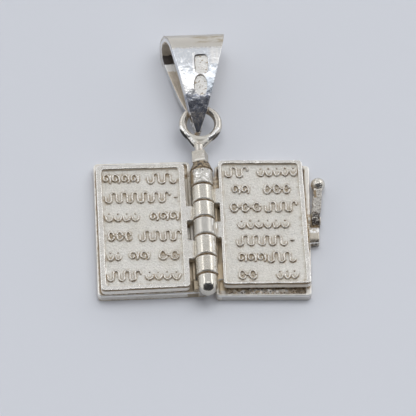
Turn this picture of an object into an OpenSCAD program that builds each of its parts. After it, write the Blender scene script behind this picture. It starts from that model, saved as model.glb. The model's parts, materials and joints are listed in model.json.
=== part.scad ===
// Miniature open book pendant in silver: two hinged tray covers, two thick metal pages,
// a hinge pin that carries the hanging ring, a folded bail and a ball ended catch lever.
// It is modelled as it lies open, face up. X runs across the book, Y along the hinge
// towards the bail, Z up from the surface that it lies on.

/* [Covers] */
// Width of each cover, from its spine edge to its fore edge
cover_w = 9.8; // [9.7:0.1:10.0]
// Length of each cover along the hinge
cover_l = 15; // [14.6:0.1:15.4]
// Height of a cover over its rim
cover_t = 0.95; // [0.85:0.05:1.0]
// Thickness of the floor inside the rim
floor_t = 0.5; // [0.4:0.05:0.6]
// Width of the raised rim
rim_w = 0.27; // [0.2:0.01:0.35]
// Width of the rim along the fore edge
fore_rim = 0.52; // [0.35:0.01:0.6]
// Turn of the right cover in its loose hinge, in degrees
cover_turn = -2; // [-3:0.5:0]

/* [Pages] */
// Width of the left page
left_leaf_w = 8.85; // [8.4:0.05:9.0]
// Width of the right page
right_leaf_w = 8.57; // [8.2:0.05:8.6]
// Length of a page along the hinge
leaf_l = 14.15; // [13.8:0.05:14.3]
// Thickness of a page
leaf_t = 0.9; // [0.8:0.05:0.95]
// Depth of the sunk panel
panel_d = 0.2; // [0.1:0.05:0.3]

/* [Hinge] */
// Outer radius of a knuckle
knuckle_r = 1.12; // [1.0:0.02:1.14]
// Radius of the hinge pin
pin_r = 0.45; // [0.35:0.05:0.5]
// Radial clearance of the pin in the knuckles
pin_clear = 0.05; // [0.03:0.01:0.08]
// Gap between two parts that lie on each other
lay_gap = 0.05; // [0.04:0.01:0.08]

/* [Ring] */
// Radius of the ring at the middle of its wire
ring_r = 1.77; // [1.72:0.01:1.8]
// Radius of the ring's wire
wire_r = 0.38; // [0.32:0.02:0.4]

/* [Bail] */
// Outer radius of the bail's fold
fold_r = 2.0; // [1.96:0.02:2.1]
// Thickness of the bail's strip
strip_t = 0.66; // [0.54:0.02:0.68]
// Width of the strip where the fold begins
bail_w = 5.04; // [4.8:0.02:5.2]
// Depth of the two stamped marks
mark_d = 0.14; // [0.06:0.02:0.2]

/* [Catch] */
// Radius of the lever's ball
ball_r = 0.69; // [0.6:0.01:0.69]
// Length from the lever's stud to the middle of its ball
lever_l = 4.15; // [4.0:0.01:4.25]
// Radius of the stud that the lever turns on
stud_r = 0.22; // [0.18:0.01:0.25]

/* [Hidden] */
$fn = 64;

leaf_z = cover_t + lay_gap;
axis_z = leaf_z + leaf_t + lay_gap;
bore_r = pin_r + pin_clear;
left_spine = -1.1;
left_leaf_spine = -1.73;
right_leaf_spine = 1.65;
left_mid_y = 0.08;
right_cover_mid = [5.825, -0.625];
left_leaf_mid_y = -0.17;
right_leaf_mid_y = -0.11;
corner_r = 0.4;

// Rims round the sunk panels: south, east, north and west widths
left_rims = [0.46, 0.55, 0.45, 0.5];
right_rims = [0.2, 0.43, 0.37, 0.3];

// The plates are worked by hand and slightly out of square. Each row moves the corners
// of one plate from its true rectangle: spine x south, spine x north, fore x south,
// fore x north, spine y south, spine y north, fore y south, fore y north
LEFT_COVER_OFF = [0, 0, -0.05, 0.18, 0.02, -0.03, -0.03, 0.12];
LEFT_LEAF_OFF = [0, 0, -0.04, 0.04, 0.06, -0.03, -0.07, 0.02];
RIGHT_LEAF_OFF = [-0.05, 0.05, 0.13, -0.14, 0.14, 0.13, -0.09, -0.19];

// Knuckles from the top of the book to its foot: north end, south end
K1 = [5.74, 4.08];
K2 = [3.90, 2.16];
K3 = [2.00, 0.28];
K4 = [0.12, -1.72];
K5 = [-1.88, -4.02];
K6 = [-4.20, -6.06];
K7 = [-6.22, -7.22];
foot_r = 1.0;

// Corners of a plate, anticlockwise from its lower left one. The plate reaches from
// its spine edge by w towards side, and o holds the small moves of its corners
function plate(spine, side, w, l, my, o) =
  let (f = spine + side * w, s = my - l / 2, n = my + l / 2,
       ss = [spine + o[0], s + o[4]], sn = [spine + o[1], n + o[5]],
       fs = [f + o[2], s + o[6]], fn = [f + o[3], n + o[7]])
  side < 0 ? [fs, ss, sn, fn] : [ss, fs, fn, sn];

function cross_at(p, u, q, v) =
  let (d = u[0] * v[1] - u[1] * v[0], w = q - p)
  p + u * ((w[0] * v[1] - w[1] * v[0]) / d);

function inward(a, b) = let (u = (b - a) / norm(b - a)) [-u[1], u[0]];

// Outline with each side moved inwards by its own width
function inset(q, w) = [for (i = [0 : 3])
  let (a = q[(i + 3) % 4], b = q[i], c = q[(i + 1) % 4])
  cross_at(a + inward(a, b) * w[(i + 3) % 4], b - a, b + inward(b, c) * w[i], c - b)];

// Outline with its corners rounded to radius r in steps
function rounded(q, r, steps = 5) = [for (i = [0 : len(q) - 1])
  let (n = len(q), b = q[i], u0 = q[(i + n - 1) % n] - b, v0 = q[(i + 1) % n] - b,
       u = u0 / norm(u0), v = v0 / norm(v0), h = acos(u * v) / 2,
       m = b + (u + v) / norm(u + v) * r / sin(h),
       p = b + u * r / tan(h) - m, a0 = atan2(p[1], p[0]))
  for (k = [0 : steps]) m + r * [cos(a0 + (180 - 2 * h) * k / steps), sin(a0 + (180 - 2 * h) * k / steps)]];

function turned(p, a) = [p[0] * cos(a) - p[1] * sin(a), p[0] * sin(a) + p[1] * cos(a)];

left_cover_q = plate(left_spine, -1, cover_w, cover_l, left_mid_y, LEFT_COVER_OFF);
left_leaf_q = plate(left_leaf_spine, -1, left_leaf_w, leaf_l, left_leaf_mid_y, LEFT_LEAF_OFF);
right_leaf_q = plate(right_leaf_spine, 1, right_leaf_w, leaf_l, right_leaf_mid_y, RIGHT_LEAF_OFF);
right_w = cover_w - 0.3;
right_l = cover_l - 0.15;
right_cover_q = [for (s = [[-1, -1], [1, -1], [1, 1], [-1, 1]])
  right_cover_mid + turned([s[0] * right_w / 2, s[1] * right_l / 2], cover_turn)];

// Bail: the legs are arcs that leave the fold level and meet at the tips
fold_y = 19.25;
tip_y = 10.11;
leg_l = fold_y - tip_y;
leg_drop = fold_r - 0.42;
leg_r = (leg_l * leg_l + leg_drop * leg_drop) / (2 * leg_drop);
strip_lean = 11.2;
strip_x = -0.22;
back_turn = 1.1;

// Outline of the strip from its tip to the back of the fold: share of the leg's length,
// then the shares of the width where the fold begins, of the front leg and the back leg
STRIP = [[0, 0.07, 0.06], [0.24, 0.35, 0.26], [0.57, 0.64, 0.6], [1, 1, 1], [1.3, 1.24, 1.24]];

// Catch: stud on the right cover, lever lying along the fore edge
stud = [10.4, 0.36, 0.8];
boss_x = [10.74, 11.54];
boss_r = 0.76;
lever_lean = 6.5;
lever_x = 11.16;
ball_at = [lever_x + lever_l * sin(lever_lean), stud[1] + lever_l * cos(lever_lean), stud[2]];

// Ring: distance of its middle from the neck, and the lean of the neck's line
neck = [-0.1, 8.5, axis_z];
ring_d = 2.74;
ring_turn = -5.6;
ring_a = asin(ring_r / ring_d);

// The outer box of the whole pendant puts the origin under its middle
left_edge = min([for (p = rounded(left_cover_q, corner_r)) p[0]]);
right_edge = ball_at[0] + ball_r;
foot_edge = min(K7[1] - foot_r, min([for (p = rounded(right_cover_q, corner_r)) p[1]]));
top_edge = fold_y + fold_r;
mid = [(left_edge + right_edge) / 2, (foot_edge + top_edge) / 2];

module placed() translate([-mid[0], -mid[1], 0]) children();

module slab(pts, z0, z1) translate([0, 0, z0]) linear_extrude(z1 - z0) polygon(pts);

// Block between two corners
module block(a, b) translate(a) cube(b - a);

// Cylinder along the hinge between two y values, its edges broken by c
module barrel(y0, y1, r, c = 0) {
  lo = min(y0, y1);
  hi = max(y0, y1);
  translate([0, 0, axis_z]) rotate([-90, 0, 0]) rotate_extrude()
    polygon([[0, lo], [r - c, lo], [r, lo + c], [r, hi - c], [r - c, hi], [0, hi]]);
}

module knuckle(k) barrel(k[1], k[0], knuckle_r, 0.1);

module bore() barrel(-7.2, 6, bore_r);

// Tray: plate with a raised rim, whose widths are south, east, north and west
module tray(q, rims) difference() {
  slab(rounded(q, corner_r), 0, cover_t);
  slab(rounded(inset(q, rims), 0.2), floor_t, cover_t + 1);
}

// Page: plate with a sunk panel
module leaf(q, rims) difference() {
  slab(rounded(q, corner_r), leaf_z, leaf_z + leaf_t);
  slab(rounded(inset(q, rims), 0.35), leaf_z + leaf_t - panel_d, leaf_z + leaf_t + 1);
}

// Domed foot of the hinge: bullet shape that closes the last knuckle
module foot() {
  n = 9;
  arc = [for (i = [0 : n]) [foot_r * cos(90 - i * 90 / n), K7[1] - foot_r * sin(90 - i * 90 / n)]];
  translate([0, 0, axis_z]) rotate([-90, 0, 0]) rotate_extrude()
    polygon(concat(arc, [[foot_r, K7[0] - 0.08], [foot_r - 0.08, K7[0]], [0, K7[0]]]));
}

module left_cover() placed() color("silver") difference() {
  union() {
    difference() {
      tray(left_cover_q, [rim_w, rim_w, rim_w, fore_rim]);
      // Dent in the fore edge
      translate([left_spine - cover_w - 0.66, 2.15, -1]) cylinder(r = 0.61, h = 3);
    }
    foot();
    block([left_spine - 0.25, -7.38, 0], [-0.1, K7[0] - 0.1, 1.55]);
  }
  bore();
}

// Wall that joins a knuckle of the right cover to its tray
module cover_web(k) {
  block([0.25, k[1] + 0.06, 0.3], [0.98, k[0] - 0.06, 1.8]);
  block([0.5, k[1] + 0.06, 0.08], [1.75, k[0] - 0.06, cover_t - 0.03]);
}

// Stop lug, rounded in side view
module lug() {
  side = rounded([[-2.2, 0.06], [-0.47, 0.06], [-0.47, 1.2], [-2.2, 1.2]], 0.36);
  translate([10.42, 0, 0]) rotate([90, 0, 90]) linear_extrude(1.03) polygon(side);
}

module right_cover() placed() color("gainsboro") difference() {
  union() {
    tray(right_cover_q, [rim_w, fore_rim, rim_w, rim_w]);
    for (k = [K1, K6]) {
      knuckle(k);
      cover_web(k);
    }
    lug();
    // Stud with a washer inside the lever's boss and a rivet head outside it
    translate(stud) rotate([0, 90, 0]) {
      cylinder(r = stud_r, h = boss_x[1] - stud[0] + 0.1);
      cylinder(r = 0.42, h = boss_x[0] - stud[0] - 0.05);
      translate([0, 0, boss_x[1] - stud[0] + 0.05]) cylinder(r = 0.4, h = 0.1);
    }
  }
  bore();
}

// Plate that carries a page's knuckle
module leaf_web(k, side, reach) {
  lo = min(side * 0.3, side * reach);
  block([lo, k[1] + 0.03, leaf_z], [lo + reach - 0.3, k[0] - 0.03, leaf_z + leaf_t]);
}

module left_leaf() placed() color("lightgray") difference() {
  union() {
    leaf(left_leaf_q, left_rims);
    for (k = [K3, K5]) {
      knuckle(k);
      leaf_web(k, -1, 2.0);
    }
  }
  bore();
}

module right_leaf() placed() color("whitesmoke") difference() {
  union() {
    leaf(right_leaf_q, right_rims);
    for (k = [K2, K4]) {
      knuckle(k);
      leaf_web(k, 1, 1.8);
    }
  }
  bore();
}

// Drop shaped ring: a round loop with two straight ends that fork out of the neck, and
// solder that fills the fork
module ring() translate(neck) rotate([0, 0, ring_turn]) {
  translate([0, ring_d, 0]) rotate_extrude() translate([ring_r, 0]) circle(r = wire_r, $fn = 32);
  for (s = [-1, 1]) rotate([-90, 0, -s * (ring_a - 1.5)])
    cylinder(r = wire_r - 0.03, h = ring_d * cos(ring_a) - 0.1);
  slab([[-0.3, 0.1], [0.3, 0.1], [0.84, 1.0], [-0.84, 1.0]], -0.26, 0.26);
}

module pin_and_ring() placed() color("darkgray") union() {
  // Hinge pin
  translate([0, -7.1, axis_z]) rotate([-90, 0, 0]) cylinder(r = pin_r, h = 13.4);
  // Rough cap over the first knuckle
  translate([0, 5.8, axis_z]) rotate([-90, 0, 0]) cylinder(r1 = 1.15, r2 = 0.76, h = 0.95);
  // Square collar, turned a little about the pin
  translate([-0.06, 6.7, axis_z]) rotate([0, -18, 0]) block([-0.65, 0, -0.65], [0.65, 1.26, 0.65]);
  // Neck
  translate([neck[0], 7.9, axis_z]) rotate([-90, 0, 0]) cylinder(r1 = 0.5, r2 = 0.42, h = 0.9);
  ring();
}

// Side view of the bail's strip, first its upper half, then mirrored for the lower
module leg_side() intersection() {
  difference() {
    circle(r = leg_r, $fn = 128);
    circle(r = leg_r - strip_t, $fn = 128);
  }
  translate([-leg_l - 0.5, leg_r - 2 * fold_r]) square([leg_l + 0.5, 2 * fold_r]);
}

module bail_half() {
  translate([4, fold_y, fold_r]) rotate([0, -90, 0]) linear_extrude(8) intersection() {
    difference() {
      circle(r = fold_r);
      circle(r = fold_r - strip_t);
    }
    square([fold_r, fold_r]);
  }
  translate([-4, fold_y, 2 * fold_r - leg_r]) rotate([90, 0, 90]) linear_extrude(8) leg_side();
}

// Plan of the strip: a long wedge that narrows to the tip
module strip_plan(leg, turn) translate([strip_x, fold_y, fold_r]) rotate([0, strip_lean, 0])
  rotate([0, 0, turn]) translate([0, 0, -4]) linear_extrude(8) polygon(rounded(concat(
    [for (r = STRIP) [r[leg] * bail_w / 2, (r[0] - 1) * leg_l]],
    [for (i = [len(STRIP) - 1 : -1 : 0]) [-STRIP[i][leg] * bail_w / 2, (STRIP[i][0] - 1) * leg_l]]), 0.1, 2));

module mark(x, y, pts) {
  d = fold_y - y;
  translate([x, y, 2 * fold_r - leg_r + sqrt(leg_r * leg_r - d * d)])
    rotate([asin(d / leg_r), 0, 0]) translate([0, 0, -mark_d]) linear_extrude(1) polygon(pts);
}

module bail() placed() color("white") difference() {
  union() {
    intersection() {
      bail_half();
      strip_plan(1, 0);
    }
    intersection() {
      translate([0, 0, 2 * fold_r]) mirror([0, 0, 1]) bail_half();
      strip_plan(2, back_turn);
    }
  }
  // Stamped marks: a field with cut corners and an oval below it
  mark(0.54, 17.11, [[-0.4, -1.02], [0.4, -1.02], [0.68, -0.72], [0.68, 0.72],
    [0.4, 1.02], [-0.4, 1.02], [-0.68, 0.72], [-0.68, -0.72]]);
  mark(0.36, 14.83, [for (i = [0 : 23]) [0.66 * cos(i * 15), 1.12 * sin(i * 15)]]);
}

module latch_lever() placed() color("silver") difference() {
  union() {
    translate([boss_x[0], stud[1], stud[2]]) rotate([0, 90, 0]) cylinder(r = boss_r, h = boss_x[1] - boss_x[0]);
    translate([lever_x, stud[1], stud[2]]) rotate([0, 0, -lever_lean]) translate([0, 0, -0.3]) linear_extrude(0.6)
      polygon([[-0.4, 0.1], [0.32, 0.1], [0.32, 0.6], [0.44, 1.2], [0.43, lever_l - 1], [0.35, lever_l - 0.3],
        [-0.34, lever_l - 0.3], [-0.4, lever_l - 1]]);
    translate(ball_at) sphere(r = ball_r);
  }
  translate([boss_x[0] - 1, stud[1], stud[2]]) rotate([0, 90, 0]) cylinder(r = stud_r + 0.05, h = 3);
}

left_cover();
right_cover();
left_leaf();
right_leaf();
pin_and_ring();
bail();
latch_lever();
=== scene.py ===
import json
import math
import bpy
import numpy as np
from mathutils import Matrix, Vector, noise


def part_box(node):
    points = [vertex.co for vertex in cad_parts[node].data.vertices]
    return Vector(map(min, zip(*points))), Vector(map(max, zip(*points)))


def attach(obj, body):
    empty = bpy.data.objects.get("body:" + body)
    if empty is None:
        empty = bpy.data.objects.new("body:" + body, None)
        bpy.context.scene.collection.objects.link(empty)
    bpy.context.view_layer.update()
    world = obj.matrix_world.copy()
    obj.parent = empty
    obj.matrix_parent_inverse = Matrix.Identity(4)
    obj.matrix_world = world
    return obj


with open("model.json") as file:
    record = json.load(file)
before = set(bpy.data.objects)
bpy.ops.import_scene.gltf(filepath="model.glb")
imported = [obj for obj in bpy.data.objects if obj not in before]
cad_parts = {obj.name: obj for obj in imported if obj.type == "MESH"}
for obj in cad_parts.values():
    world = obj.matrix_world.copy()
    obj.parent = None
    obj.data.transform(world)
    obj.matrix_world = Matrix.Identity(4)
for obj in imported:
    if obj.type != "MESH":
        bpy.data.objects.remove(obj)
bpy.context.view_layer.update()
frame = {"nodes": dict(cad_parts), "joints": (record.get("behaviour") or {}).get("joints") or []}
nodes = frame["nodes"]
MM = 0.001

# The part is drawn from the hinge axis, level with the table. MID is the way in mm from
# there to the frame's own zero, and FOOT_Y is where the drawing has the tip of the foot
FOOT_Y = -8.22
MID = (-frame["joints"][0]["pos_m"][0] / MM, FOOT_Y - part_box("left_cover")[0].y / MM)

# Sizes of the drawing in mm: face of the pages, hinge axis, knuckles and domed foot
PAGE_Z = 1.70
AXIS_Z, KNUCKLE_R, FOOT_R = 1.95, 1.12, 1.0
# The bail: line where it folds, its tips and half their height, outer radius of the fold,
# thickness of the strip. Each leg is an arc of radius LEG_R that drops by LEG_DROP
FOLD_Y, TIP_Y, TIP_HALF, FOLD_R, STRIP_T = 19.25, 10.11, 0.42, 2.0, 0.66
LEG_DROP = FOLD_R - TIP_HALF
LEG_R = ((FOLD_Y - TIP_Y) ** 2 + LEG_DROP ** 2) / (2 * LEG_DROP)


def at(x, y, z=0.0):
    """Point of the drawing, in mm, as a point of the frame in metres."""
    return Vector(((x - MID[0]) * MM, (y - MID[1]) * MM, z * MM))


def link(name, data):
    o = bpy.data.objects.new(name, data)
    bpy.context.scene.collection.objects.link(o)
    return o


def frame_of(x, y, z, place):
    """Matrix of an object with these three axes at a place."""
    m = Matrix((x, y, z)).transposed().to_4x4()
    m.translation = place
    return m


# Camera: 61 degrees above the table, turned by PSI about the object and by RHO in its own
# frame. It looks at the point that lies AIM mm to the right of the drawing's zero and above
ELEV, PSI, RHO = math.radians(61), math.radians(4.5), math.radians(-1.9)
AIM, CAM_DIST, VIEW_W, SENSOR_W = (0.4, 2.4), 1.6, 0.0416, 36
right = Vector((math.cos(PSI), -math.sin(PSI), 0))
up = Vector((math.sin(PSI) * math.sin(ELEV), math.cos(PSI) * math.sin(ELEV), math.cos(ELEV)))
back = right.cross(up)
cam_x = right * math.cos(RHO) - up * math.sin(RHO)
cam_y = right * math.sin(RHO) + up * math.cos(RHO)
aim = at(0, 0) + cam_x * AIM[0] * MM + cam_y * AIM[1] * MM
cam = link("camera", bpy.data.cameras.new("camera"))
cam.matrix_world = frame_of(cam_x, cam_y, back, aim + back * CAM_DIST)
cam.data.sensor_width = SENSOR_W
cam.data.lens = SENSOR_W * CAM_DIST / VIEW_W
cam.data.clip_start, cam.data.clip_end = 0.01, 10
bpy.context.scene.camera = cam
bpy.context.scene.view_settings.view_transform = "Standard"


def node(nt, kind, inputs=None, **props):
    """New node of a tree. An input is a value or another node's output."""
    n = nt.nodes.new(kind)
    for k, v in props.items():
        setattr(n, k, v)
    for k, v in (inputs or {}).items():
        if hasattr(v, "is_output"):
            nt.links.new(v, n.inputs[k])
        else:
            n.inputs[k].default_value = v
    return n


def maths(nt, op, a, b=0.0, c=0.0):
    return node(nt, "ShaderNodeMath", {0: a, 1: b, 2: c}, operation=op).outputs[0]


def vector(nt, op, a, b=(0, 0, 0), out="Vector"):
    return node(nt, "ShaderNodeVectorMath", {0: a, 1: b}, operation=op).outputs[out]


def scaled(nt, vec, k):
    return node(nt, "ShaderNodeVectorMath", {0: vec, "Scale": k}, operation="SCALE").outputs[0]


def split(nt, vec):
    return node(nt, "ShaderNodeSeparateXYZ", {0: vec}).outputs


def mix(nt, fac, a, b, blend="MIX"):
    """Goes from colour a to colour b as fac goes from 0 to 1."""
    return node(nt, "ShaderNodeMix", {"Factor": fac, 6: a, 7: b}, data_type="RGBA",
                blend_type=blend).outputs[2]


def lerp(nt, fac, a, b):
    """Goes from number a to number b as fac goes from 0 to 1."""
    return node(nt, "ShaderNodeMix", {"Factor": fac, 2: a, 3: b}, data_type="FLOAT").outputs[0]


def span(nt, value, lo, hi, a=0.0, b=1.0):
    """Smooth change from a to b while value goes from lo to hi."""
    return node(nt, "ShaderNodeMapRange",
                {"Value": value, "From Min": lo, "From Max": hi, "To Min": a, "To Max": b},
                interpolation_type="SMOOTHSTEP").outputs["Result"]


def all_of(nt, mask, *others):
    """Mask of what lies in every one of the masks."""
    for other in others:
        mask = maths(nt, "MULTIPLY", mask, other)
    return mask


def within(nt, value, lo, hi, soft=0.04):
    """Mask of the values from lo to hi, with soft ends outside them."""
    return all_of(nt, span(nt, value, lo - soft, lo), span(nt, value, hi, hi + soft, 1.0, 0.0))


def far(nt, a, b):
    """Length of the arm with the two sides a and b."""
    squares = (maths(nt, "MULTIPLY", side, side) for side in (a, b))
    return maths(nt, "SQRT", maths(nt, "ADD", *squares))


def shader(name):
    m = bpy.data.materials.new(name)
    m.use_nodes = True
    return m, m.node_tree, m.node_tree.nodes["Principled BSDF"]


# Pale matt table, a hair below the part
FLOOR_HALF, FLOOR_DROP = 1.5, 0.02
FLOOR_CORNERS = [(sx * FLOOR_HALF, sy * FLOOR_HALF, 0)
                 for sx, sy in ((-1, -1), (1, -1), (1, 1), (-1, 1))]
floor_me = bpy.data.meshes.new("floor")
floor_me.from_pydata(FLOOR_CORNERS, [], [(0, 1, 2, 3)])
floor = link("floor", floor_me)
floor.location.z = -FLOOR_DROP * MM
floor_mat, _, floor_bsdf = shader("floor")
floor_bsdf.inputs["Base Color"].default_value = (0.687, 0.708, 0.758, 1)
floor_bsdf.inputs["Roughness"].default_value = 0.9
floor_bsdf.inputs["Specular IOR Level"].default_value = 0.1
floor_me.materials.append(floor_mat)

# A pale tent, open from low in front to a little past straight up, so that metal turned
# there shows the dark room. The tent is less bright towards its top, which leans back
TENT_SIDE, TENT_TOP = (1.02, 1.025, 1.04, 1), (0.71, 0.72, 0.742, 1)
ROOM_TOP, ROOM_FRONT = (0.05, 0.055, 0.072, 1), (0.02, 0.021, 0.026, 1)
OPENING_X, TOP_Y, TOP_Z = 0.06, 0.48, 0.875
world = bpy.data.worlds.new("tent")
bpy.context.scene.world = world
world.use_nodes = True
wn = world.node_tree
ray_x, ray_y, ray_z = split(wn, node(wn, "ShaderNodeTexCoord").outputs["Generated"])
aside = maths(wn, "ABSOLUTE", maths(wn, "ADD", ray_x, -OPENING_X))
opening = all_of(wn, span(wn, ray_y, 0.22, 0.165), span(wn, aside, 0.92, 0.80),
                 span(wn, ray_z, 0.02, 0.12))
room = mix(wn, span(wn, ray_y, 0.05, -0.4), ROOM_TOP, ROOM_FRONT)
high = maths(wn, "MULTIPLY_ADD", ray_z, TOP_Z, maths(wn, "MULTIPLY", ray_y, TOP_Y))
tent = mix(wn, span(wn, high, 0.5, 0.95), TENT_SIDE, TENT_TOP)
wn.links.new(mix(wn, opening, tent, room), wn.nodes["Background"].inputs["Color"])


def softbox(name, direction, size_x, size_y, radiance, dist=0.5, shows="both"):
    """Area light that shows in polished metal, lights matt faces, or does both."""
    light = bpy.data.lights.new(name, "AREA")
    light.shape = "RECTANGLE"
    light.size, light.size_y = size_x, size_y
    light.energy = radiance * math.pi * size_x * size_y
    d = Vector(direction).normalized()
    x = Vector((0, 1, 0)).cross(d).normalized()
    o = link(name, light)
    o.matrix_world = frame_of(x, d.cross(x), d, d * dist)
    o.visible_diffuse, o.visible_glossy = shows != "polish", shows != "matt"


softbox("softbox_left", (-0.60, 0.42, 0.68), 0.08, 0.5, 1.7, shows="polish")
softbox("softbox_right", (0.68, 0.42, 0.60), 0.09, 0.5, 2.0, shows="polish")
softbox("softbox_top", (0.03, 0.232, 0.972), 0.40, 0.078, 1.4)
softbox("overhead", (0.24, 0.14, 1.0), 0.9, 0.9, 1.8, dist=0.9, shows="matt")
softbox("front", (-0.15, -0.93, 0.33), 0.5, 0.2, 0.9, shows="matt")

# Size of the cast grain, and of the dots that break up a patch, in mm
GRAIN = 0.22


def drawn(nt):
    """Object coordinates in mm, as the part is drawn."""
    pos = node(nt, "ShaderNodeTexCoord").outputs["Object"]
    return scaled(nt, vector(nt, "SUBTRACT", pos, at(0, 0)), 1 / MM)


def normal(nt):
    return split(nt, node(nt, "ShaderNodeTexCoord").outputs["Normal"])


def openness(nt, reach):
    """1 on open faces, less in corners that lie within reach, in mm, of other metal."""
    return node(nt, "ShaderNodeAmbientOcclusion", {"Distance": reach * MM},
                samples=12).outputs["AO"]


def grains(nt, pos, size, detail=3.0, rough=0.6):
    return node(nt, "ShaderNodeTexNoise", {"Vector": pos, "Scale": 1 / size, "Detail": detail,
                                           "Roughness": rough}).outputs["Fac"]


def ragged(nt, pos, amount, size=0.3):
    """Pushes places about a little, so that what is masked by them has an uneven outline."""
    push = node(nt, "ShaderNodeTexNoise", {"Vector": pos, "Scale": 1 / size, "Detail": 3.0})
    push = vector(nt, "SUBTRACT", push.outputs["Color"], (0.5, 0.5, 0.5))
    return vector(nt, "ADD", pos, scaled(nt, push, amount))


def dotted(nt, pos, mask, dots):
    """Dots of a mask, with the noise where they start and where they are full, or all of it."""
    return all_of(nt, mask, span(nt, grains(nt, pos, GRAIN), *dots)) if dots else mask


def strip_depth(nt, pos):
    """How far a point of the bail lies inside the strip's outer face."""
    _, y, z = split(nt, pos)
    y = maths(nt, "ADD", y, -FOLD_Y)
    z = maths(nt, "ABSOLUTE", maths(nt, "ADD", z, -FOLD_R))
    leg = maths(nt, "SUBTRACT", LEG_R, far(nt, y, maths(nt, "ADD", z, LEG_R - FOLD_R)))
    fold = maths(nt, "SUBTRACT", FOLD_R, far(nt, y, z))
    return lerp(nt, maths(nt, "GREATER_THAN", y, 0.0), leg, fold)


def mark_zone(nt, pos):
    """Sunk floors of the two marks in the bail's face."""
    x, y, z = split(nt, pos)
    return all_of(nt, within(nt, strip_depth(nt, pos), 0.07, 0.3, 0.02),
                  within(nt, x, -0.4, 1.3), within(nt, y, 13.5, 18.3), span(nt, z, 2.3, 2.4))


def patch(x, y, soft=0.06, edge=0.3, dots=None, in_mark=False, turn=0.0, below=None):
    """Mask of a patch of the drawing with a ragged outline, or of the dots within it. With
    in_mark it is only what lies in the bail's marks, and with below only what lies lower
    than that and over the back. turn is in degrees."""
    def where(nt, pos):
        p = ragged(nt, pos, edge)
        if turn:
            p = node(nt, "ShaderNodeVectorRotate", {"Vector": p, "Angle": math.radians(-turn)},
                     rotation_type="Z_AXIS").outputs[0]
        px, py, pz = split(nt, p)
        f = all_of(nt, within(nt, px, *x, soft), within(nt, py, *y, soft))
        if below:
            f = all_of(nt, f, span(nt, pz, below + 0.1, below), span(nt, pz, 0.1, 0.2))
        if in_mark:
            f = all_of(nt, f, mark_zone(nt, pos))
        return dotted(nt, pos, f, dots)
    return where


def south(z, lean=(0.35, 0.7), edge=0.0, dots=None, x=(-13.0, 13.0), y=(-9.0, 9.0)):
    """Faces of a piece that look down the page, between two heights and two places. lean is
    how far they have to look down it where the mask starts and where it is full."""
    def where(nt, pos):
        px, py, pz = split(nt, ragged(nt, pos, edge) if edge else pos)
        f = all_of(nt, span(nt, normal(nt)[1], -lean[0], -lean[1]), within(nt, pz, *z),
                   within(nt, px, *x), within(nt, py, *y))
        return dotted(nt, pos, f, dots)
    return where


def knuckle_zone(nt, pos):
    """Everything that lies round the hinge axis, the foot too."""
    x, _, z = split(nt, pos)
    return span(nt, far(nt, x, maths(nt, "ADD", z, -AXIS_Z)), 1.3, 1.18)


def first_knuckle_zone(nt, pos):
    """Knuckle next to the cap, which is duller."""
    return all_of(nt, knuckle_zone(nt, pos), within(nt, split(nt, pos)[1], 4.0, 6.0))


def foot_zone(nt, pos):
    """Domed end of the hinge."""
    return all_of(nt, knuckle_zone(nt, pos), within(nt, split(nt, pos)[1], -9.0, -6.2))


def panel_zone(nt, pos):
    """Sunk panel of a page, by its height."""
    return within(nt, split(nt, pos)[2], 1.6, 1.84)


def side_zone(nt, pos):
    """Low edges of the pages, without their undersides."""
    nz = maths(nt, "ABSOLUTE", normal(nt)[2])
    return all_of(nt, span(nt, split(nt, pos)[2], 1.6, 1.45), span(nt, nz, 0.9, 0.6))


def cap_zone(nt, pos):
    """Rough cap of the pin, up to an uneven line of solder."""
    y = maths(nt, "MULTIPLY_ADD", grains(nt, pos, 0.3), 0.4, split(nt, pos)[1])
    return within(nt, y, 5.5, 6.86, 0.1)


def collar_zone(nt, pos):
    return within(nt, split(nt, pos)[1], 6.7, 7.98)


def inside_zone(nt, pos):
    """Inner face of the bail's strip."""
    return span(nt, strip_depth(nt, pos), 0.48, 0.62)


def inside_band(y0, y1):
    """Band across the inner face of the bail's lower leg."""
    def where(nt, pos):
        _, y, z = split(nt, ragged(nt, pos, 0.5, 0.5))
        return all_of(nt, inside_zone(nt, pos), within(nt, y, y0, y1, 0.14),
                      span(nt, z, 2.1, 1.8))
    return where


def fold_zone(nt, pos):
    """Outer face of the bail's fold."""
    y = maths(nt, "MULTIPLY_ADD", grains(nt, pos, 0.8), 0.5, split(nt, pos)[1])
    return all_of(nt, span(nt, y, FOLD_Y - 0.25, FOLD_Y + 0.1),
                  span(nt, strip_depth(nt, pos), 0.3, 0.2))


def streak_zone(nt, pos):
    """Streaks that run along the right half of the fold."""
    x, y, z = split(nt, pos)
    drawn_out = vector(nt, "MULTIPLY", pos, (0.35, 1, 1))
    return all_of(nt, span(nt, x, -0.8, 0.4), span(nt, grains(nt, drawn_out, 0.4), 0.42, 0.6),
                  within(nt, y, FOLD_Y + 0.4, FOLD_Y + 1.1, 0.3), span(nt, z, 2.2, 2.8))


def mark_edge(x0, y0, half_x, half_y, power):
    """Upper left edge of a stamped mark, which is an oval at power 2 and squarer above it."""
    def where(nt, pos):
        x, y, z = split(nt, ragged(nt, pos, 0.06, 0.4))
        dx = maths(nt, "DIVIDE", maths(nt, "ADD", x, -x0), half_x)
        dy = maths(nt, "DIVIDE", maths(nt, "ADD", y, -y0), half_y)
        powers = (maths(nt, "POWER", maths(nt, "ABSOLUTE", d), power) for d in (dx, dy))
        out = maths(nt, "POWER", maths(nt, "ADD", *powers), 1 / power)
        return all_of(nt, within(nt, out, 0.97, 1.04, 0.05),
                      span(nt, maths(nt, "SUBTRACT", dy, dx), -0.3, 0.9), span(nt, z, 2.3, 2.4))
    return where


def pit_zone(nt, pos):
    """Pits of the lever, fewer towards its ball."""
    return all_of(nt, span(nt, grains(nt, pos, 0.28, 2.0), 0.56, 0.64),
                  span(nt, split(nt, pos)[1], 4.6, 1.2, 0.4, 1.0))


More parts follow.
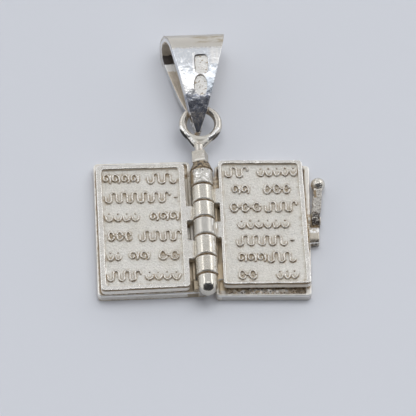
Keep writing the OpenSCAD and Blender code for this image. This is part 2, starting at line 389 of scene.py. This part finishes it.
# Tones of the wear: thin film, rubbed edges whose near white is also a painted highlight,
# and the pale and dark grime of deep corners, whose pale tone also paints light into their shade
FILM, RUBBED_GLINT = (0.82, 0.78, 0.70, 1), (0.97, 0.96, 0.93, 1)
PALE_DIRT_AND_LIGHT, DIRT_DARK = (0.88, 0.76, 0.58, 1), (0.33, 0.235, 0.135, 1)
# Noise sizes of stain, film, specks and dirt, the reach of deep corners, and bump depths, in mm
STAIN_SIZE, FILM_SIZE, SPECK_SIZE, DIRT_SIZE = 0.45, 2.5, 0.17, 0.3
DEEP_REACH, WOBBLE_DEPTH, GRAIN_DEPTH = 1.1, 0.1, 0.12
# How sharp an edge is, as Pointiness gives it, where its rubbing and painted highlight start and
# where they are full
SHARP = (0.52, 0.55)


def silver(name, color, rough, metal=0.88, stain=(0.34, 0.25, 0.155), reach=0.35,
           edge=(0.98, 0.56), grain=0.8, wobble=0.3, wobble_size=1.1, patches=0.3,
           speckle=0.12, spots=0.7, deep=(0.5, 0.3), worn_glint=0.0, zones=(), over=()):
    """Worn silver: brown stain in the corners, a patchy sheen, cast grain and uneven faces.
    reach is how near, in mm, metal has to be to make a corner, and edge and deep are how
    open a corner is where its stain, or the grime and painted light of deep corners, starts
    and where it is full. patches is the strength of the film, speckle that of the specks,
    spots how uneven the stain is, and worn_glint how far the edges are rubbed and painted near
    white, a painted highlight. A zone is a function that masks a part of the piece, then its
    color, metal, rough and grain. over has masks and colors on top of the stain, painted light
    and shade among them."""
    m, nt, b = shader(name)
    pos = drawn(nt)
    cloud = grains(nt, pos, STAIN_SIZE, 4.0)
    uneven = maths(nt, "ADD", cloud, -0.5)
    col, met, rgh, grn = (*color, 1), metal, rough, grain
    for where, z_color, z_metal, z_rough, z_grain in zones:
        f = where(nt, pos)
        col, met = mix(nt, f, col, (*z_color, 1)), lerp(nt, f, met, z_metal)
        rgh, grn = lerp(nt, f, rgh, z_rough), lerp(nt, f, grn, z_grain)
    film = span(nt, grains(nt, pos, FILM_SIZE), 0.35, 0.75, 0.0, patches)
    col = mix(nt, film, col, mix(nt, 1.0, col, FILM, "MULTIPLY"))
    speck = span(nt, grains(nt, pos, SPECK_SIZE, 2.0, 0.8), 0.3, 0.7, -speckle, speckle)
    col = scaled(nt, col, maths(nt, "MULTIPLY_ADD", speck, grn, 1.0))
    corner = span(nt, maths(nt, "MULTIPLY_ADD", uneven, spots, openness(nt, reach)), *edge)
    sunk = span(nt, maths(nt, "MULTIPLY_ADD", uneven, 0.5, openness(nt, DEEP_REACH)), *deep)
    # Deep corners get a mottle of dark grime and a pale tone, the pale tone painted light that
    # lifts their shade
    dirt_and_light = mix(nt, span(nt, grains(nt, pos, DIRT_SIZE), 0.42, 0.58), PALE_DIRT_AND_LIGHT, DIRT_DARK)
    col = mix(nt, sunk, mix(nt, corner, col, (*stain, 1)), dirt_and_light)
    corner = maths(nt, "MAXIMUM", corner, sunk)
    # Sharp edges are rubbed and painted near white with less mirror: wear, and a painted highlight
    # along them
    if worn_glint:
        sharp = node(nt, "ShaderNodeNewGeometry").outputs["Pointiness"]
        rub_glint = span(nt, maths(nt, "MULTIPLY_ADD", uneven, 0.06, sharp), *SHARP, 0.0, worn_glint)
        col = mix(nt, rub_glint, col, RUBBED_GLINT)
        met, corner = lerp(nt, rub_glint, met, 0.5), lerp(nt, rub_glint, corner, 0.0)
    for where, o_color in over:
        col = mix(nt, where(nt, pos), col, (*o_color, 1))
    # Stain and dirt take away nine tenths of the metal's mirror and add to its roughness
    met = maths(nt, "MULTIPLY", met, maths(nt, "MULTIPLY_ADD", corner, -0.9, 1.0))
    rgh = maths(nt, "MULTIPLY", rgh, span(nt, cloud, 0.3, 0.8, 0.85, 1.3))
    rgh = maths(nt, "MULTIPLY_ADD", corner, 0.3, rgh)
    faces = node(nt, "ShaderNodeBump", {"Height": grains(nt, pos, wobble_size, 2.0),
                                        "Strength": wobble, "Distance": WOBBLE_DEPTH * MM})
    bump = node(nt, "ShaderNodeBump", {"Height": grains(nt, pos, GRAIN, 3.0, 0.7),
                                       "Strength": grn, "Distance": GRAIN_DEPTH * MM,
                                       "Normal": faces.outputs["Normal"]})
    for socket, value in (("Base Color", col), ("Metallic", met), ("Roughness", rgh),
                          ("Normal", bump.outputs["Normal"])):
        nt.links.new(value, b.inputs[socket])
    return m


BEIGE, BROWN, BLACK = (0.63, 0.60, 0.54), (0.33, 0.25, 0.16), (0.06, 0.05, 0.045)
WHITE, PALE = (0.95, 0.94, 0.92), (0.80, 0.78, 0.74)
# The sand tone is painted shade on the strokes' south sides
UMBER, SAND_SHADE = (0.26, 0.18, 0.10), (0.66, 0.58, 0.45)

# Places are in mm of the drawing, x and then y. The columns of zones are place, color, metal,
# rough and grain, and those of over are place and color
cover_mat = silver("cover_silver", (0.80, 0.77, 0.715), 0.3, grain=0.3, worn_glint=0.6, zones=[
    (knuckle_zone, BEIGE, 0.95, 0.26, 0.04),
    (first_knuckle_zone, (0.65, 0.63, 0.585), 0.9, 0.33, 0.9),
    # White specks on the first knuckle: painted glints
    (patch((-0.9, 0.8), (4.1, 5.5), dots=(0.52, 0.58)), WHITE, 0.9, 0.22, 0.5),
    (patch((-1.6, -0.95), (3.9, 6.2), soft=0.2, edge=0.5), BROWN, 0.4, 0.5, 0.6),
    (patch((-1.3, 1.0), (5.3, 6.2), dots=(0.54, 0.6)), BLACK, 0.4, 0.5, 0.6),
    (foot_zone, (0.63, 0.605, 0.55), 0.95, 0.16, 0.05),
    (patch((9.95, 12.0), (-3.2, 0.0)), (0.60, 0.55, 0.47), 0.8, 0.35, 0.6),
    # White specks on the lug's north edge: painted glints
    (patch((9.95, 12.0), (-1.2, -0.3), dots=(0.44, 0.52)), WHITE, 0.7, 0.3, 0.5),
    (patch((9.95, 12.0), (-3.0, -1.98), edge=0.15, dots=(0.47, 0.53)), BLACK, 0.3, 0.5, 1.0),
], over=[
    # Pale patches on the floors of the gaps beside the hinge, under the leaves: painted light that
    # lifts their shade
    (patch((-2.0, -0.85), (-7.5, -3.4), below=1.4), (0.90, 0.79, 0.62)),
    (patch((-2.0, -1.05), (-1.8, 0.2), edge=0.12, below=1.4), (0.97, 0.94, 0.88)),
    (patch((0.95, 1.9), (-7.0, 2.2), edge=0.12, below=1.4), (0.84, 0.72, 0.54)),
    (patch((-2.0, -0.95), (-7.6, -5.9), below=2.1), (0.44, 0.37, 0.27)),
    # Pale strip beside the first knuckle, under the leaf: painted light that lifts its shade
    (patch((-1.72, -1.22), (2.2, 5.8), edge=0.15, below=1.4), (0.92, 0.87, 0.78)),
    # Darker tone on the right cover's south faces, by which way they look: painted shade
    (south((-0.1, 0.8), edge=0.1, x=(1.4, 12.5), y=(-9.0, -6.5)), (0.62, 0.60, 0.565)),
    # White on the south rounding of the rims' tops: painted highlight
    (south((0.84, 0.98), (0.08, 0.3), edge=0.05), WHITE)])

page_mat = silver("page_silver", (0.75, 0.728, 0.687), 0.24, stain=(0.40, 0.32, 0.22),
                  edge=(0.97, 0.6), grain=0.05, worn_glint=0.85, zones=[
    (side_zone, (0.68, 0.60, 0.49), 0.15, 0.4, 0.4),
    (panel_zone, (0.80, 0.78, 0.73), 0.8, 0.46, 0.65),
    (knuckle_zone, BEIGE, 0.95, 0.25, 0.04),
    # Darker fourth knuckle: painted shade that dims its highlight
    (patch((-1.3, 1.3), (-1.75, 0.35), soft=0.1, edge=0.2), (0.55, 0.53, 0.49), 0.95, 0.3, 0.15),
], over=[
    # Pale south faces of the leaves: painted light
    (south((1.12, 1.70), edge=0.06, y=(-9.0, -6.5)), (0.93, 0.89, 0.83)),
    # Dark line at the top of the leaves' south faces: painted shade
    (south((1.72, 1.93), edge=0.06, y=(-9.0, -6.5)), (0.31, 0.235, 0.15)),
    # Brown on the panels' upper inner walls, which look south: painted shade
    (south((1.72, 1.93), edge=0.06, y=(5.0, 9.0)), (0.66, 0.57, 0.45))])

LEFT_SIDE, RIGHT_SIDE, RELIEF_Z = (-13.0, 0.0), (0.0, 13.0), (1.6, 2.0)
relief_mat = silver("relief_silver", (0.84, 0.81, 0.76), 0.28, stain=(0.32, 0.25, 0.165),
                    reach=0.2, edge=(0.9, 0.5), spots=1.0, zones=[
    # Sand tone on the strokes' south sides: painted shade
    (south(RELIEF_Z, (0.1, 0.4), dots=(0.42, 0.5), x=LEFT_SIDE), SAND_SHADE, 0.35, 0.4, 0.8),
    (south(RELIEF_Z, (0.1, 0.4), dots=(0.5, 0.56), x=RIGHT_SIDE), SAND_SHADE, 0.35, 0.4, 0.8),
], over=[
    # Dark brown dots on the strokes' south sides: painted shade
    (south(RELIEF_Z, (0.15, 0.5), dots=(0.46, 0.56), x=RIGHT_SIDE), (0.22, 0.165, 0.10)),
    (south(RELIEF_Z, (0.15, 0.5), dots=(0.52, 0.56), x=LEFT_SIDE), (0.17, 0.125, 0.075))])

# The sides of the ring lean out from its neck, and the painted dark reflections and painted
# highlights along them are turned with them
RING_RIGHT, RING_LEFT = 33.8, -42.7
ring_mat = silver("ring_silver", (0.62, 0.59, 0.54), 0.2, grain=0.2, zones=[
    (cap_zone, (0.36, 0.29, 0.20), 0.3, 0.6, 1.5),
    (patch((-3.0, 3.0), (5.4, 6.7), dots=(0.48, 0.55)), BLACK, 0.3, 0.6, 1.0),
    (collar_zone, (0.60, 0.57, 0.515), 0.8, 0.45, 0.6),
    (patch((-0.9, 0.9), (9.1, 9.95), soft=0.15), (0.65, 0.63, 0.58), 0.35, 0.35, 0.3),
    # Pale dots on the collar's upright edge and a pale line on its lower edge: painted highlights
    (patch((0.12, 0.34), (6.8, 8.0), dots=(0.52, 0.6)), PALE, 0.8, 0.3, 0.5),
    (patch((-0.6, 0.55), (6.86, 6.95), edge=0.08), PALE, 0.8, 0.3, 0.5),
    # Black line along the ring's outer edge: painted dark reflection
    (patch((3.9, 4.35), (7.6, 10.0), edge=0.12, turn=RING_RIGHT), (0.02, 0.02, 0.02),
     0.5, 0.3, 0.3),
    # White lines along the ring's sides: painted highlights
    (patch((4.44, 4.6), (7.8, 10.2), edge=0.06, turn=RING_RIGHT), WHITE, 0.9, 0.2, 0.1),
    (patch((-5.8, -5.62), (7.4, 9.1), edge=0.06, turn=RING_LEFT), WHITE, 0.9, 0.2, 0.1),
    # Near black line along the other outer edge: painted dark reflection
    (patch((-5.4, -5.1), (7.6, 9.0), edge=0.12, turn=RING_LEFT), (0.06, 0.05, 0.04),
     0.5, 0.3, 0.3)])

# The bail's zones go from its face and foot to its inner face, its fold and its two marks
FACE, MARKS_X, MARKS_Y = (-2.5, 2.5), (-0.3, 1.2), (13.7, 18.1)
bail_mat = silver("bail_silver", (0.83, 0.83, 0.825), 0.17, metal=1.0, reach=0.2,
                  edge=(0.8, 0.4), grain=0.04, wobble=0.22, wobble_size=0.7, patches=0.1,
                  speckle=0.05, zones=[
    # Blue-grey patches on the bail's face: painted reflections of the tent
    (patch((-2.5, 1.1), (17.2, 19.4), soft=0.5, edge=0.5), (0.79, 0.815, 0.85), 1.0, 0.15, 0.04),
    (patch((-2.5, -0.2), (15.9, 17.3), soft=0.4, edge=0.7), (0.74, 0.765, 0.80), 1.0, 0.15, 0.04),
    (patch((0.95, 2.5), (13.6, 16.9), soft=0.25, edge=0.7), (0.62, 0.655, 0.70), 1.0, 0.15, 0.04),
    (patch((1.0, 1.5), (13.4, 15.4), soft=0.2, edge=0.5), (0.49, 0.53, 0.58), 1.0, 0.15, 0.06),
    (patch(FACE, (15.9, 19.0), soft=0.3, dots=(0.5, 0.64)), (0.87, 0.875, 0.885), 1.0, 0.2, 0.12),
    # Grey-blue patches beside the upper mark: painted reflections
    (patch((-0.8, -0.25), (16.05, 17.0), soft=0.2, edge=0.4), (0.60, 0.62, 0.65), 1.0, 0.15, 0.04),
    (patch((-1.25, -0.75), (16.6, 17.0), soft=0.2, edge=0.4), (0.64, 0.66, 0.69), 1.0, 0.15, 0.04),
    (patch((-0.32, -0.12), (16.2, 18.4), edge=0.12), (0.95, 0.95, 0.95), 1.0, 0.2, 0.1),
    (patch((1.62, 1.8), (17.2, 18.8), soft=0.1, edge=0.12), WHITE, 0.85, 0.2, 0.1),
    (patch((2.05, 2.2), (17.4, 18.8), soft=0.1, edge=0.12), WHITE, 0.85, 0.2, 0.1),
    (patch(FACE, (9.8, 13.3), soft=0.3, edge=0.4), (0.82, 0.81, 0.80), 1.0, 0.15, 0.07),
    # Dark grey band low on the face: painted dark reflection
    (patch(FACE, (12.2, 13.8), soft=0.3, edge=0.4), (0.52, 0.53, 0.56), 1.0, 0.15, 0.06),
    (patch(FACE, (9.8, 13.2), soft=0.2, dots=(0.46, 0.58)), (0.56, 0.51, 0.47), 1.0, 0.18, 0.13),
    # Dark grey dots at the face's lower end: painted dark reflection
    (patch(FACE, (9.8, 12.3), soft=0.4, edge=0.4, dots=(0.47, 0.57)), (0.30, 0.285, 0.275),
     0.8, 0.25, 0.25),
    # Dark blue dots low on the face: painted dark reflection
    (patch((-1.3, 1.0), (12.3, 13.9), soft=0.3, edge=0.4, dots=(0.5, 0.58)), (0.24, 0.265, 0.33),
     0.92, 0.2, 0.08),
    (inside_zone, (0.74, 0.67, 0.575), 0.6, 0.4, 0.3),
    (inside_band(19.84, 21.0), (0.46, 0.41, 0.34), 0.5, 0.4, 0.3),
    (inside_band(18.9, 19.84), BLACK, 0.3, 0.4, 0.3),
    # White band inside the fold: painted highlight
    (inside_band(18.25, 18.9), (1.0, 1.0, 0.99), 0.0, 0.4, 0.2),
    (fold_zone, (0.62, 0.59, 0.54), 0.8, 0.33, 0.2),
    (streak_zone, (0.43, 0.37, 0.28), 0.6, 0.4, 0.4),
    (mark_zone, (0.97, 0.955, 0.92), 0.12, 0.4, 1.5),
    (patch(MARKS_X, MARKS_Y, dots=(0.48, 0.56), in_mark=True), WHITE, 0.5, 0.3, 1.0),
    (patch(MARKS_X, MARKS_Y, dots=(0.56, 0.61), in_mark=True), (0.50, 0.42, 0.31), 0.6, 0.3, 1.0),
    # Dark upper left edges of the two marks: painted shade
    (mark_edge(0.54, 17.11, 0.68, 1.02, 5.0), BLACK, 0.5, 0.4, 0.3),
    (mark_edge(0.36, 14.83, 0.66, 1.12, 2.0), (0.3, 0.27, 0.24), 0.5, 0.4, 0.3)])

lever_mat = silver("lever_silver", (0.57, 0.545, 0.505), 0.3, grain=1.1, speckle=0.2, zones=[
    (pit_zone, (0.16, 0.13, 0.10), 0.5, 0.5, 1.0),
    (patch((11.2, 11.36), (2.9, 3.7), soft=0.1, edge=0.35), BROWN, 0.4, 0.5, 0.8),
    (patch((10.2, 10.8), (0.4, 1.7), edge=0.25), (0.40, 0.36, 0.23), 0.4, 0.5, 0.8),
    (patch((10.0, 13.0), (3.75, 5.5), edge=0.0), (0.70, 0.67, 0.61), 0.85, 0.22, 0.3),
    (patch((10.0, 12.0), (-0.5, 1.2), dots=(0.42, 0.5)), BLACK, 0.3, 0.5, 1.0)])

# Rough foot of the tray, in a pale tone that also paints light into the shade under the leaf:
# dark grime at both ends, white specks painted as light on the lumps, and near black specks
# painted as shade among them
TRAY_FOOT = (-9.0, -6.5)
tray_mat = silver("tray_silver", (0.93, 0.85, 0.73), 0.42, metal=0.3, reach=0.2,
                  edge=(0.8, 0.4), deep=(0.2, 0.1), zones=[
    (patch((8.0, 10.5), TRAY_FOOT, soft=0.4, dots=(0.42, 0.55)), UMBER, 0.3, 0.5, 0.8),
    (patch((1.5, 3.6), TRAY_FOOT, soft=0.4, dots=(0.42, 0.55)), UMBER, 0.3, 0.5, 0.8),
], over=[
    # White specks: painted light
    (patch((2.6, 8.0), TRAY_FOOT, soft=0.4, dots=(0.42, 0.49)), WHITE),
    # Near black specks: painted shade
    (patch((1.5, 10.2), TRAY_FOOT, soft=0.4, dots=(0.57, 0.62)), (0.12, 0.08, 0.045))])

CLOUDS = {}


def clouds(size):
    """Texture of soft clouds of a size in mm, one for each size."""
    if size not in CLOUDS:
        t = bpy.data.textures.new(f"clouds_{len(CLOUDS)}", "CLOUDS")
        t.noise_scale = size * MM
        t.noise_depth = 1
        CLOUDS[size] = t
    return CLOUDS[size]


# A point belongs to a round face when it lies this near to it, in mm, and its face looks
# this much along the radius
NEAR, SQUARE_ON = 0.06, 0.93


def true_round(o, rounds):
    """Brings the points that belong to a round face onto it, so that it mirrors without
    facets. A round is its centre in mm, radius, free axis and y range."""
    g = bpy.data.node_groups.new("true_round", "GeometryNodeTree")
    for way in ("INPUT", "OUTPUT"):
        g.interface.new_socket("Geometry", in_out=way, socket_type="NodeSocketGeometry")
    geo = node(g, "NodeGroupInput").outputs[0]
    for centre, radius, free, (y0, y1) in rounds:
        pos = node(g, "GeometryNodeInputPosition").outputs[0]
        face = node(g, "GeometryNodeInputNormal").outputs[0]
        keep = Vector((1, 1, 1)) - Vector(free)
        arm = vector(g, "MULTIPLY", vector(g, "SUBTRACT", pos, at(*centre)), keep)
        unit = vector(g, "NORMALIZE", arm)
        along = maths(g, "ABSOLUTE", vector(g, "DOT_PRODUCT", face, unit, "Value"))
        short = maths(g, "SUBTRACT", radius * MM, vector(g, "LENGTH", arm, out="Value"))
        y = split(g, pos)[1]
        hit = all_of(g, maths(g, "LESS_THAN", maths(g, "ABSOLUTE", short), NEAR * MM),
                     maths(g, "GREATER_THAN", along, SQUARE_ON),
                     maths(g, "GREATER_THAN", y, at(0, y0).y),
                     maths(g, "LESS_THAN", y, at(0, y1).y))
        move = scaled(g, unit, maths(g, "MULTIPLY", short, hit))
        geo = node(g, "GeometryNodeSetPosition", {"Geometry": geo, "Offset": move}).outputs[0]
    node(g, "NodeGroupOutput", {0: geo})
    m = o.modifiers.new("round", "NODES")
    m.node_group = g


# What a piece grows by, in mm, to make up for what the smoothing takes off
GROW = 0.02
# Kinds of unevenness that a hand leaves: their size and height in mm
BROAD, CLOSE, FINE = (1.6, 0.03), (0.9, 0.03), (0.2, 0.05)


def cast(name, mat, voxel=0.07, smooth=4, hand=(BROAD,), rounds=()):
    """Gives a CAD node the soft edges and uneven faces of hand worked cast silver."""
    o = nodes[name]
    o.data.materials.clear()
    o.data.materials.append(mat)
    r = o.modifiers.new("melt", "REMESH")
    r.mode = "VOXEL"
    r.voxel_size = voxel * MM
    r.use_smooth_shade = True
    s = o.modifiers.new("wear", "SMOOTH")
    s.factor, s.iterations = 0.5, smooth
    g = o.modifiers.new("grow", "DISPLACE")
    g.strength, g.mid_level = GROW * MM, 0.0
    if rounds:
        true_round(o, rounds)
    for size, height in hand:
        d = o.modifiers.new("hand", "DISPLACE")
        d.texture = clouds(size)
        d.texture_coords = "LOCAL"
        d.strength, d.mid_level = height * MM, 0.5


# Round faces: the knuckles, the foot and its dome, both sides of the bail's legs and fold,
# and the lever's boss
ALONG_X, ALONG_Y, BALL = (1, 0, 0), (0, 1, 0), (0, 0, 0)
DOME_Y, FOOT_END, HINGE_END = FOOT_Y + FOOT_R, -6.3, 5.8
hinge = [((0, 0, AXIS_Z), KNUCKLE_R, ALONG_Y, (DOME_Y, HINGE_END)),
         ((0, 0, AXIS_Z), FOOT_R, ALONG_Y, (DOME_Y, FOOT_END)),
         ((0, DOME_Y, AXIS_Z), FOOT_R, BALL, (FOOT_Y - 0.1, DOME_Y))]
strip = [((0, FOLD_Y, z), r, ALONG_X, (TIP_Y, FOLD_Y))
         for z in (2 * FOLD_R - LEG_R, LEG_R) for r in (LEG_R, LEG_R - STRIP_T)]
strip += [((0, FOLD_Y, FOLD_R), r, ALONG_X, (FOLD_Y, FOLD_Y + FOLD_R + 0.1))
          for r in (FOLD_R, FOLD_R - STRIP_T)]
boss = [((0, 0.36, 0.8), 0.76, ALONG_X, (-0.5, 1.2))]

cast("left_cover", cover_mat, rounds=hinge)
cast("right_cover", cover_mat, rounds=hinge)
cast("left_leaf", page_mat, rounds=hinge)
cast("right_leaf", page_mat, rounds=hinge)
cast("pin_and_ring", ring_mat, voxel=0.05, smooth=2, hand=(CLOSE,))
cast("bail", bail_mat, voxel=0.05, smooth=3, hand=(CLOSE,), rounds=strip)
cast("latch_lever", lever_mat, voxel=0.05, smooth=2, hand=(BROAD, FINE), rounds=boss)


def wave(v, size, seed):
    """Smooth noise at a place, from about -1 to 1, with waves of about this size in mm."""
    return noise.noise(Vector((v[0] / size, v[1] / size, seed)))


def smooth_piece(name, verts, faces, mat):
    me = bpy.data.meshes.new(name)
    me.from_pydata(verts, [], faces)
    me.materials.append(mat)
    for f in me.polygons:
        f.use_smooth = True
    return link(name, me)


def rough_casting():
    """Lumps that the casting left along the foot of the right cover's tray. The strip is
    laid out square to the cover and turned with it about the cover's middle."""
    nx, ny = 150, 16
    x0, width, y0, depth = 1.95, 7.9, -7.95, 0.95
    mid_x, mid_y, turn = 5.825, -0.625, math.radians(-2)
    tray_z, tallest = 0.44, 0.4
    verts, faces = [], []
    for i in range(nx + 1):
        for j in range(ny + 1):
            u, v = x0 + width * i / nx - mid_x, y0 + depth * j / ny - mid_y
            x = mid_x + u * math.cos(turn) - v * math.sin(turn)
            y = mid_y + u * math.sin(turn) + v * math.cos(turn)
            rim = min(1.0, min(i, nx - i) / 6, min(j, ny - j) / 3)
            # A thin bed with large and small lumps and a slow swell along the tray
            h = (0.16 + 0.5 * wave((x, y), 0.42, 11.0) + 0.3 * wave((x, y), 0.2, 13.0)
                 + 0.08 * math.sin(x * 1.3))
            verts.append(at(x, y, tray_z + rim * min(tallest, max(0.0, h))))
    for i in range(nx):
        for j in range(ny):
            a = i * (ny + 1) + j
            faces.append((a, a + ny + 1, a + ny + 2, a + 1))
    o = smooth_piece("rough_casting", verts, faces, tray_mat)
    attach(o, "right_cover")


rough_casting()

# Raised ornament of the pages: bands of plain repeated motifs, drawn as round topped strokes.
# SECTION is a stroke's outline, from side to side and from the page up
SECTION = [(-1.0, 0.0), (-0.85, 0.5), (-0.5, 0.9), (0.0, 1.0), (0.5, 0.9), (0.85, 0.5), (1.0, 0.0)]
STROKE_W, STROKE_H, SUNK, STEP, SHAKE = 0.25, 0.17, 0.05, 0.05, 0.05


def stroke(points, verts, faces):
    """Adds one raised stroke along points, in mm on the page."""
    p = np.array(points, float)
    cum = np.concatenate([[0], np.cumsum(np.linalg.norm(np.diff(p, axis=0), axis=1))])
    n = max(4, int(cum[-1] / STEP))
    s = np.linspace(0, cum[-1], n + 1)
    q = np.stack([np.interp(s, cum, p[:, 0]), np.interp(s, cum, p[:, 1])], 1)
    q += np.array([[wave(v, 0.5, 1.0), wave(v, 0.5, 7.0)] for v in q]) * SHAKE
    t = np.gradient(q, axis=0)
    t /= np.linalg.norm(t, axis=1)[:, None]
    side = np.stack([-t[:, 1], t[:, 0]], 1)
    first = len(verts)
    for i in range(n + 1):
        end = min(1.0, min(s[i], cum[-1] - s[i]) / (STROKE_W / 2))
        k = math.sqrt(max(0.0, 1 - (1 - end) ** 2)) * 0.97 + 0.03
        w = STROKE_W / 2 * k * (1 + 0.35 * wave(q[i], 0.6, 3.0))
        h = STROKE_H * (0.35 + 0.65 * k) * (1 + 0.25 * wave(q[i], 0.7, 5.0))
        for off, rise in SECTION:
            x, y = q[i] + side[i] * off * w
            verts.append((x, y, PAGE_Z - SUNK + rise * (h + SUNK)))
    m = len(SECTION)
    for i in range(n):
        for j in range(m):
            a, b = first + i * m + j, first + i * m + (j + 1) % m
            faces.append((a, b, b + m, a + m))
    faces.append(tuple(first + j for j in range(m - 1, -1, -1)))
    faces.append(tuple(first + n * m + j for j in range(m)))


def arc(cx, cy, rx, ry, a0, a1, n=14):
    """Part of an oval about a centre, from angle a0 to a1 in degrees, in n steps."""
    turns = [math.radians(a0 + (a1 - a0) * i / n) for i in range(n + 1)]
    return [(cx + rx * math.cos(a), cy + ry * math.sin(a)) for a in turns]


def bead(x, y):
    return [(x - 0.07, y), (x + 0.07, y)]


def repeats(w, pitch, least=1):
    """How many motifs of about this pitch fill a width, and their true pitch."""
    n = max(least, round(w / pitch))
    return n, w / n


# Each motif gives the strokes that fill a group of width w in a band of height h
def meander(w, h):
    """Ribbon that runs up and down in round turns."""
    n, p = repeats(w, 0.52, 2)
    path = []
    for i in range(n):
        s = 1 if i % 2 else -1
        path += arc(i * p + p / 2, s * (h / 2 - p / 2), p / 2, p / 2, 180, 180 - s * 180, 8)
    return [[(0, h * 0.2)] + path + [(w, path[-1][1] * 0.4)]]


def scallops(w, h):
    """Hanging arcs with a bead over each."""
    n, p = repeats(w, 0.8)
    out = []
    for i in range(n):
        c = (i + 0.5) * p
        out += [arc(c, h * 0.12, p * 0.4, h * 0.55, 180, 360), bead(c, h * 0.34)]
    return out


def links(w, h):
    """Ovals joined by short bars."""
    n, p = repeats(w, 1.0)
    out = []
    for i in range(n):
        c = (i + 0.5) * p
        out.append(arc(c, 0, p * 0.3, h * 0.42, 0, 360, 22))
        out.append([(c - p * 0.06, 0), (c + p * 0.06, 0)])
        if i:
            out.append([(i * p - p * 0.2, 0), (i * p + p * 0.2, 0)])
    return out


def curls(w, h):
    """Running scroll."""
    n, p = repeats(w, 0.95)
    out = []
    for i in range(n):
        c = (i + 0.45) * p
        spiral = []
        for k in range(21):
            a = math.radians(60 - 22 * k)
            spiral.append((c + (0.1 + 0.32 * k / 20) * p * math.cos(a),
                           (0.12 + 0.36 * k / 20) * h * math.sin(a)))
        out.append(spiral)
        out.append([(c + 0.36 * p, -h * 0.45), (c + 0.45 * p, -h * 0.2), (c + 0.52 * p, h * 0.42)])
    return out


def dash(w, _):
    return [[(0, 0), (w, 0)]]


# One row per band: its height on the page, then start, end and motif of each group, in mm
LEFT_BANDS = [
    (5.35, [(-10.0, -6.3, curls), (-5.4, -2.6, meander)]),
    (3.20, [(-9.7, -3.3, meander), (-2.9, -2.5, dash)]),
    (1.00, [(-9.9, -6.4, scallops), (-5.5, -2.5, curls)]),
    (-1.20, [(-9.8, -7.2, links), (-6.5, -2.4, meander)]),
    (-3.45, [(-9.9, -8.4, scallops), (-7.8, -5.6, curls), (-4.9, -2.5, links)]),
    (-5.70, [(-9.9, -6.6, meander), (-6.2, -2.6, scallops)]),
]
RIGHT_BANDS = [
    (5.68, [(2.4, 4.6, meander), (5.5, 9.6, scallops)]),
    (3.68, [(2.9, 4.7, curls), (6.0, 8.9, links)]),
    (1.65, [(2.5, 5.9, links), (6.2, 9.3, meander)]),
    (-0.25, [(3.3, 8.5, scallops)]),
    (-2.15, [(3.2, 8.1, meander), (8.5, 8.9, dash)]),
    (-4.08, [(3.1, 6.0, curls), (6.2, 8.9, meander)]),
    (-6.05, [(3.0, 5.1, links), (6.9, 9.1, scallops)]),
]
# Height of every band, and how much the bands fall for each mm to the right
BAND_H, ROW_SLOPE = 1.12, -0.02


def relief(name, bands, shift, body):
    """Ornament of one page. shift moves all of its bands up the page, in mm."""
    verts, faces = [], []
    for y, groups in bands:
        for x0, x1, motif in groups:
            for path in motif(x1 - x0, BAND_H):
                stroke([(x0 + px, y + shift + py + ROW_SLOPE * (x0 + px)) for px, py in path],
                       verts, faces)
    o = smooth_piece(name, [at(*v) for v in verts], faces, relief_mat)
    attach(o, body)


relief("left_ornament", LEFT_BANDS, -0.1, "left_leaf")
relief("right_ornament", RIGHT_BANDS, 0.1, "right_leaf")
